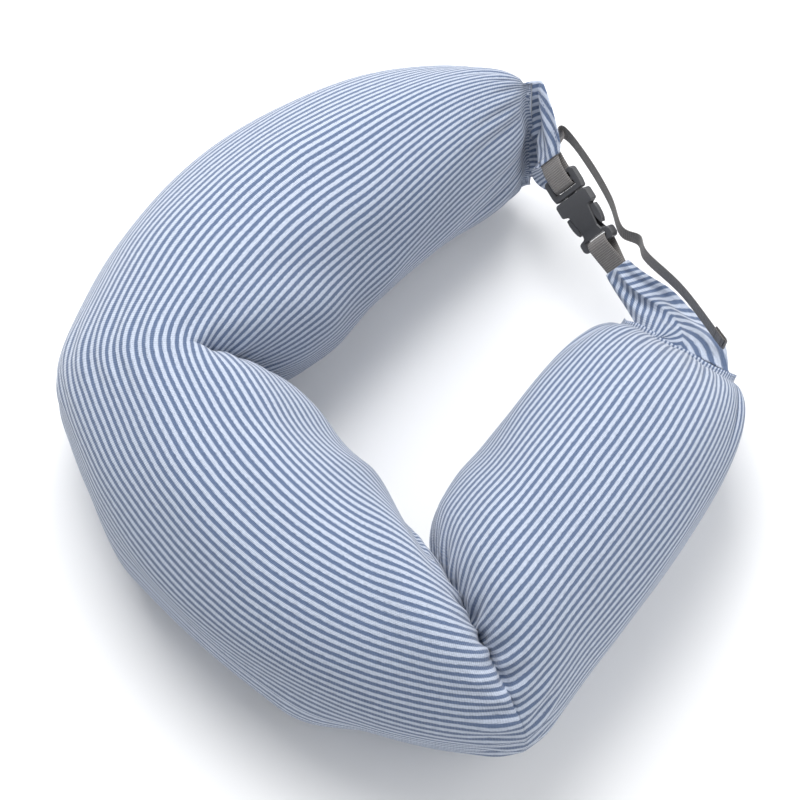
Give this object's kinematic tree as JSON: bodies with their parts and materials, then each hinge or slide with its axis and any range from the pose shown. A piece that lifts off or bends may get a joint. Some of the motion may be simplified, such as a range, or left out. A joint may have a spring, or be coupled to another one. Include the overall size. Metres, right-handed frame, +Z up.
{
  "type": "neck pillow",
  "caption": "U shaped bead filled neck pillow in striped jersey, with sewn end flaps, webbing straps and a side release buckle that joins the arm ends.",
  "frame": {"origin": "on the resting plane, under the middle of the back's centre line", "axes": "+Z up out of the resting plane, the back runs along X with the wearer's left arm at +X, and the open side with the buckle faces -Y"},
  "size_m": [0.4095, 0.3968, 0.14],
  "materials": {
    "jersey": "striped cotton jersey, fine light and blue heather stripes along the tube",
    "liner": "plain white knit liner",
    "beads": "loose polystyrene micro beads",
    "buckle_plastic": "moulded dark grey acetal, satin",
    "webbing": "ribbed warm grey webbing",
    "zip_tape": "woven blue grey tape",
    "zip_teeth": "moulded blue grey teeth",
    "zip_metal": "dull nickel plated zip hardware"
  },
  "bodies": {
    "back": {"cover_back": "jersey", "liner_back": "liner", "bead_fill_back": "beads", "zip_tape_upper": "zip_tape", "zip_tape_lower": "zip_tape", "zip_teeth_upper": "zip_teeth", "zip_teeth_lower": "zip_teeth", "zip_stop_closed_end": "zip_metal", "zip_stop_open_end": "zip_metal"},
    "arm_left": {"cover_left_arm": "jersey", "liner_left_arm": "liner", "bead_fill_left_arm": "beads"},
    "arm_right": {"cover_right_arm": "jersey", "liner_right_arm": "liner", "bead_fill_right_arm": "beads"},
    "strap_left": {"flap_left": "jersey"},
    "male_half": {"buckle_male": "buckle_plastic", "strap_adjustable": "webbing", "strap_end_fold": "webbing"},
    "prong_front": {"buckle_prong_front": "buckle_plastic"},
    "prong_back": {"buckle_prong_back": "buckle_plastic"},
    "strap_right": {"flap_right": "jersey", "strap_fixed": "webbing", "buckle_female": "buckle_plastic"},
    "slider": {"zip_slider": "zip_metal"},
    "pull": {"zip_pull": "zip_metal"}
  },
  "joints": [
    {"name": "arm_left_open", "type": "hinge", "parent": "back", "child": "arm_left", "pos_m": [0.17645, 0.0191, 0.068], "axis": [0, 0, 1], "range_deg": [0, 45], "deforming": ["buckle_prong_front", "buckle_prong_back"]},
    {"name": "arm_right_open", "type": "hinge", "parent": "back", "child": "arm_right", "pos_m": [-0.19204, -0.0049, 0.068], "axis": [0, 0, -1], "range_deg": [0, 45], "deforming": ["buckle_prong_front", "buckle_prong_back", "strap_adjustable", "strap_end_fold"]},
    {"name": "flap_left_bend", "type": "hinge", "parent": "arm_left", "child": "strap_left", "pos_m": [0.06983, -0.30399, 0.068], "axis": [0, 0, 1], "range_deg": [-15, 0], "deforming": ["buckle_prong_front", "buckle_prong_back"]},
    {"name": "flap_right_bend", "type": "hinge", "parent": "arm_right", "child": "strap_right", "pos_m": [-0.09511, -0.25604, 0.068], "axis": [-0.9781, -0.2079, 0], "range_deg": [-15, 0], "deforming": ["buckle_prong_front", "buckle_prong_back", "strap_adjustable", "strap_end_fold"]},
    {"name": "strap_tighten", "type": "slide", "parent": "strap_left", "child": "male_half", "axis": [0.9426, -0.274, 0.1908], "range_m": [0, 0.004], "deforming": ["buckle_prong_front", "buckle_prong_back", "strap_adjustable"]},
    {"name": "prong_front_squeeze", "type": "hinge", "parent": "male_half", "child": "prong_front", "pos_m": [0.01663, -0.29397, 0.07697], "axis": [-0.0678, -0.7167, -0.6941], "range_deg": [0, 8]},
    {"name": "prong_back_squeeze", "type": "hinge", "parent": "male_half", "child": "prong_back", "pos_m": [0.02146, -0.28448, 0.06669], "axis": [0.0678, 0.7167, 0.6941], "range_deg": [0, 8]},
    {"name": "zip_slider_travel", "type": "slide", "parent": "back", "child": "slider", "axis": [1, 0, 0], "range_m": [0, 0.108]},
    {"name": "zip_pull_tilt", "type": "hinge", "parent": "slider", "child": "pull", "pos_m": [-0.0545, 0.05366, 0.00989], "axis": [0, 0.7431, 0.6691], "range_deg": [0, 90]}
  ],
  "couplings": [
    {"joint": "flap_left_bend", "follows": "arm_left_open", "ratio": -0.3},
    {"joint": "flap_right_bend", "follows": "arm_right_open", "ratio": -0.3},
    {"joint": "prong_back_squeeze", "follows": "prong_front_squeeze", "ratio": 1}
  ]
}
